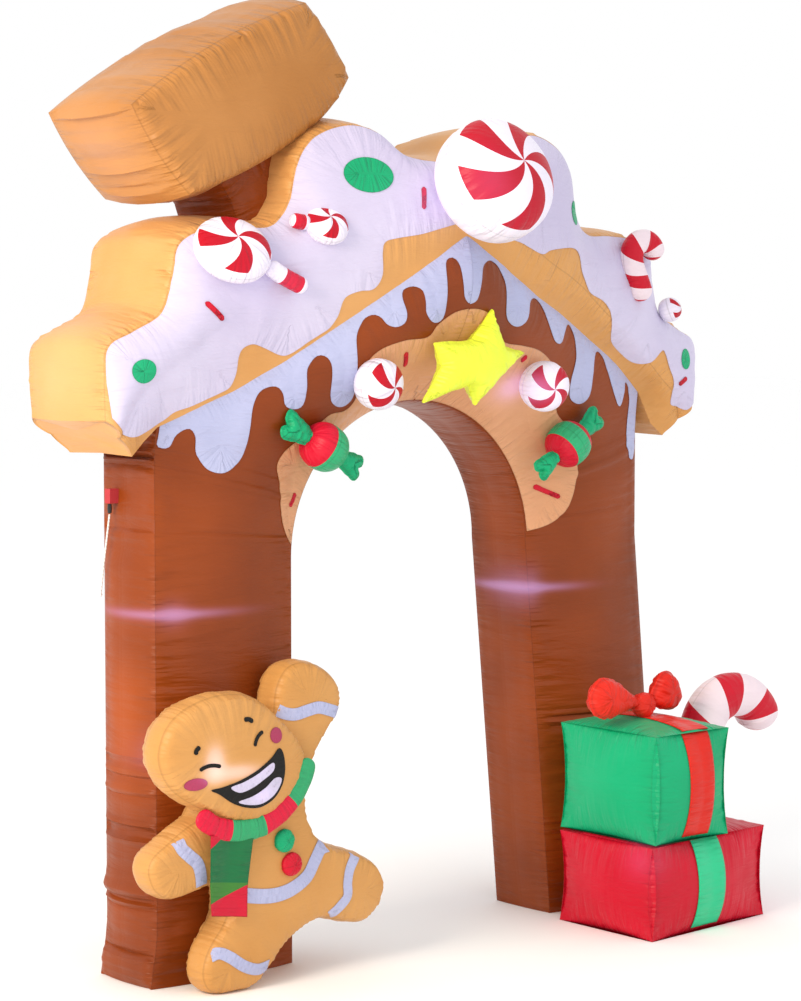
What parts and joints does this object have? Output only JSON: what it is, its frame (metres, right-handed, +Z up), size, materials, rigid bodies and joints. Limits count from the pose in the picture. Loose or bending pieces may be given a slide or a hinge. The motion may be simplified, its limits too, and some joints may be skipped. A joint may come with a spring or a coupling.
{
  "type": "inflatable arch",
  "caption": "Free-standing walk-through arch of air-filled nylon: two legs, pointed gable, lobed roof with icing, tilted chimney, sweets, a figure and stacked gifts.",
  "frame": {"origin": "on the floor, under the middle of the bounding box", "axes": "+Z up, -Y towards the front, +X to the right seen from the front"},
  "size_m": [2.7292, 1.1516, 3.037],
  "materials": {
    "chocolate_nylon": "woven nylon, slight sheen",
    "biscuit_nylon": "woven nylon, slight sheen",
    "white_nylon": "woven nylon, slight sheen",
    "red_nylon": "woven nylon, slight sheen",
    "green_nylon": "woven nylon, slight sheen",
    "yellow_nylon": "woven nylon, slight sheen",
    "black_nylon": "woven nylon, slight sheen",
    "pink_nylon": "woven nylon, slight sheen",
    "webbing": "woven nylon, slight sheen",
    "black_plastic": "moulded, matt",
    "white_cord": "braided"
  },
  "bodies": {
    "root": {"arch_body": "chocolate_nylon", "chimney_stack": "chocolate_nylon", "roof": "biscuit_nylon", "chimney_cap": "biscuit_nylon", "arch_band_left": "biscuit_nylon", "arch_band_right": "biscuit_nylon", "figure_body": "biscuit_nylon", "figure_head": "biscuit_nylon", "roof_icing_left": "white_nylon", "roof_icing_right": "white_nylon", "gable_icing_left": "white_nylon", "gable_icing_right": "white_nylon", "apex_mint": "white_nylon", "mint_left": "white_nylon", "mint_right": "white_nylon", "lollipop_large": "white_nylon", "lollipop_small": "white_nylon", "roof_mint": "white_nylon", "icing_arm_raised": "white_nylon", "icing_arm_lowered": "white_nylon", "icing_belly": "white_nylon", "icing_leg": "white_nylon", "icing_foot": "white_nylon", "teeth_upper": "white_nylon", "teeth_lower": "white_nylon", "lollipop_large_stick": "red_nylon", "lollipop_small_stick": "red_nylon", "roof_cane": "red_nylon", "candy_left": "red_nylon", "scarf_collar": "red_nylon", "scarf_tail": "red_nylon", "button_red": "red_nylon", "gift_red": "red_nylon", "gift_green_band": "red_nylon", "bow_left": "red_nylon", "bow_right": "red_nylon", "bow_knot": "red_nylon", "gift_cane": "red_nylon", "candy_right": "green_nylon", "candy_left_twist_a": "green_nylon", "candy_left_twist_b": "green_nylon", "candy_right_twist_a": "green_nylon", "candy_right_twist_b": "green_nylon", "dot_left": "green_nylon", "dot_middle": "green_nylon", "dot_upper": "green_nylon", "dot_right": "green_nylon", "button_green": "green_nylon", "gift_green": "green_nylon", "gift_red_band": "green_nylon", "star": "yellow_nylon", "mouth": "black_nylon", "eye_left": "black_nylon", "eye_right": "black_nylon", "cheek_left": "pink_nylon", "cheek_right": "pink_nylon", "tether_tab": "webbing", "tether_toggle": "black_plastic", "tether_cord": "white_cord"}
  },
  "joints": []
}
